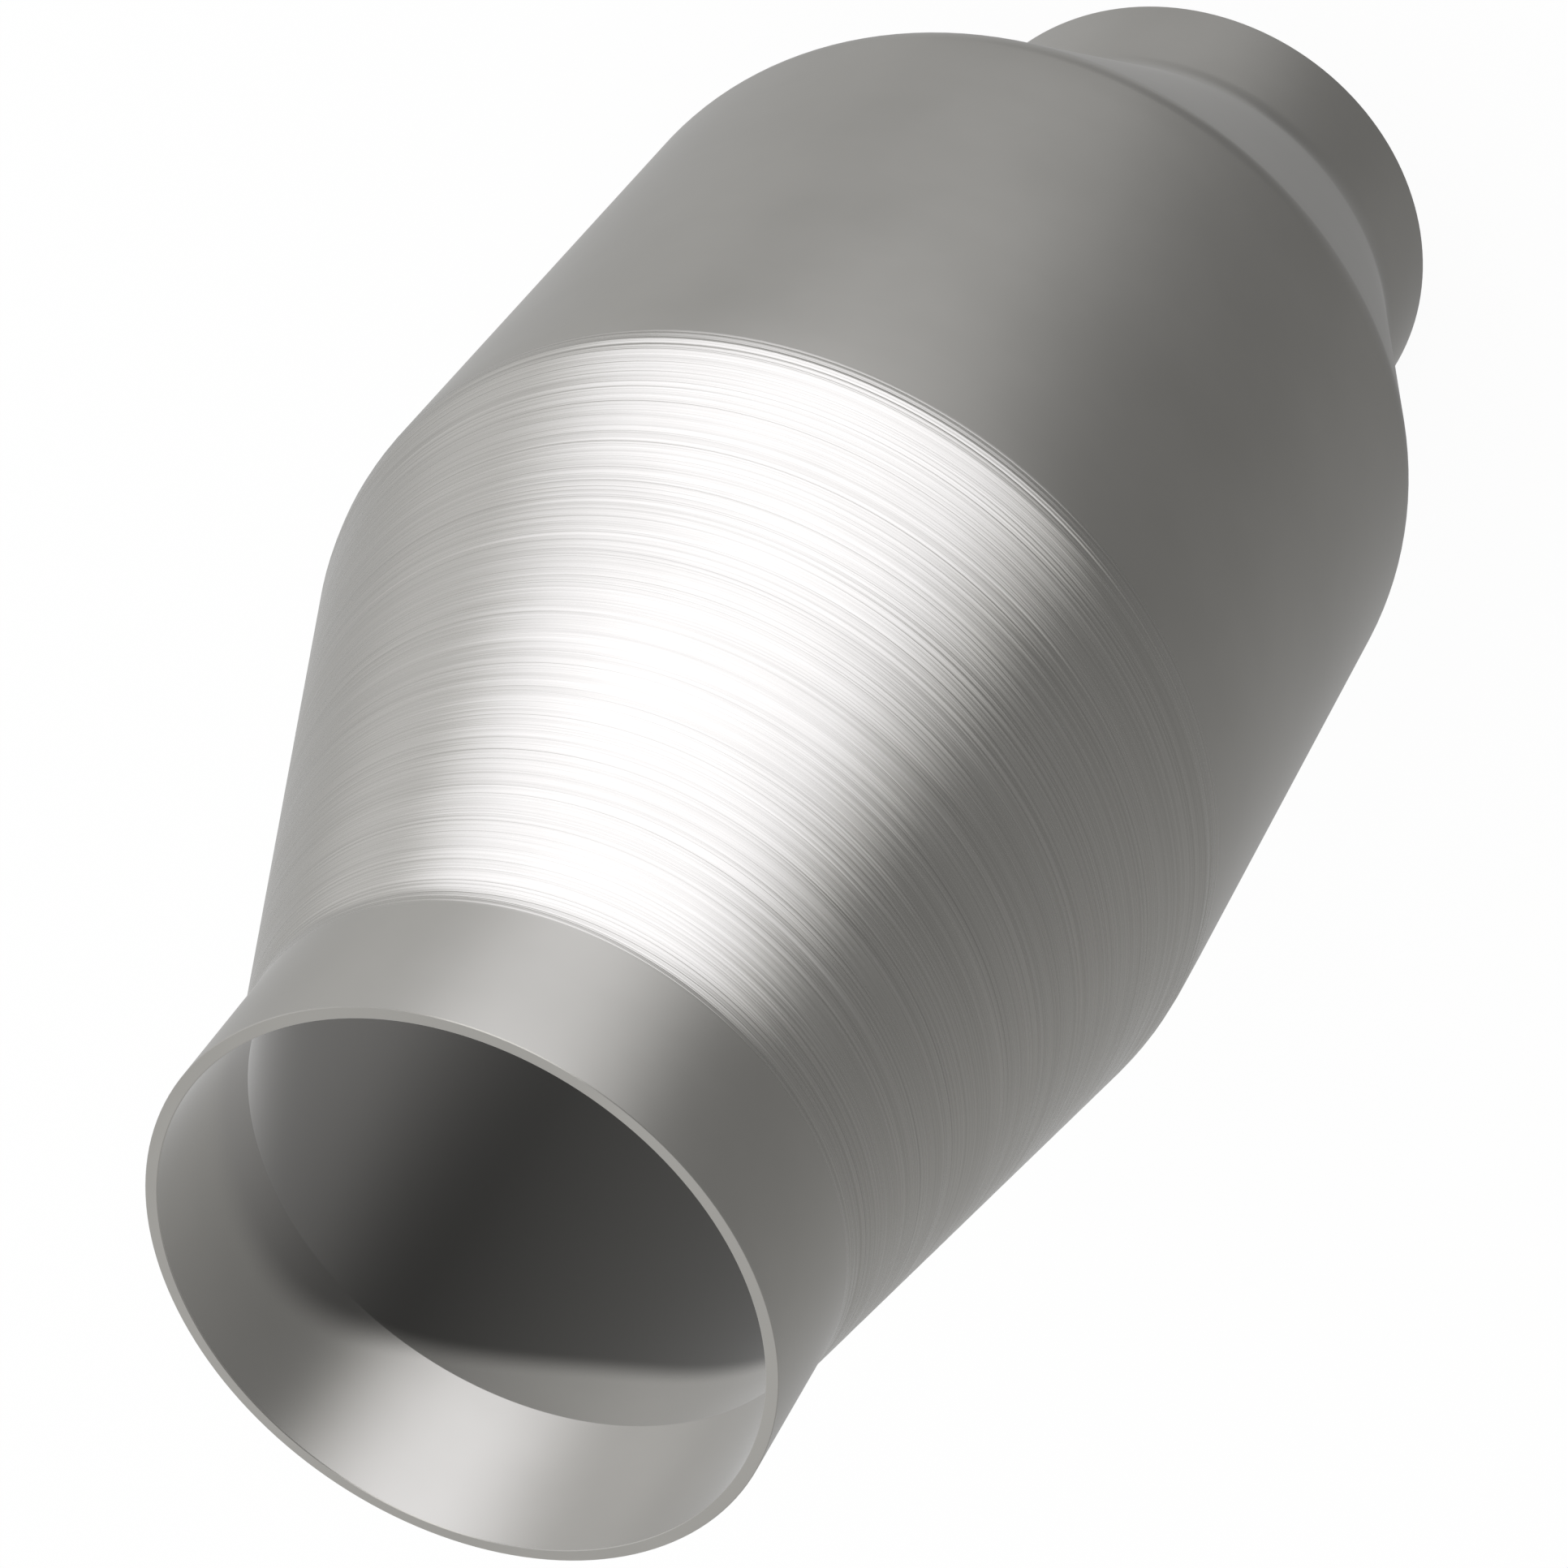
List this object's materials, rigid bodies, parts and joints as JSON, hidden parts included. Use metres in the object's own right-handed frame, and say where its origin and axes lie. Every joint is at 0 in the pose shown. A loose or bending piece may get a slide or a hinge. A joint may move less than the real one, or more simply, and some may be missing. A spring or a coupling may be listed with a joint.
{
  "type": "catalytic converter",
  "caption": "Round exhaust catalytic converter: one-piece spun stainless shell with oblique cones and open slip-on necks round a ceramic honeycomb.",
  "frame": {"origin": "on the axis of the round body, in the plane of the rear neck's rim, which the converter stands on", "axes": "+Z along the body's axis towards the front neck; both necks share one axis that lies 7 mm from the body's, on the -X side"},
  "size_m": [0.127, 0.127, 0.2725],
  "materials": {
    "stainless_shell": "spun, satin",
    "coated_ceramic": "matte",
    "fibre_mat": "matte",
    "knitted_wire": "knitted"
  },
  "bodies": {
    "root": {"spun_shell": "stainless_shell", "catalyst_brick": "coated_ceramic", "support_mat": "fibre_mat", "front_end_seal": "knitted_wire", "rear_end_seal": "knitted_wire"}
  },
  "joints": []
}
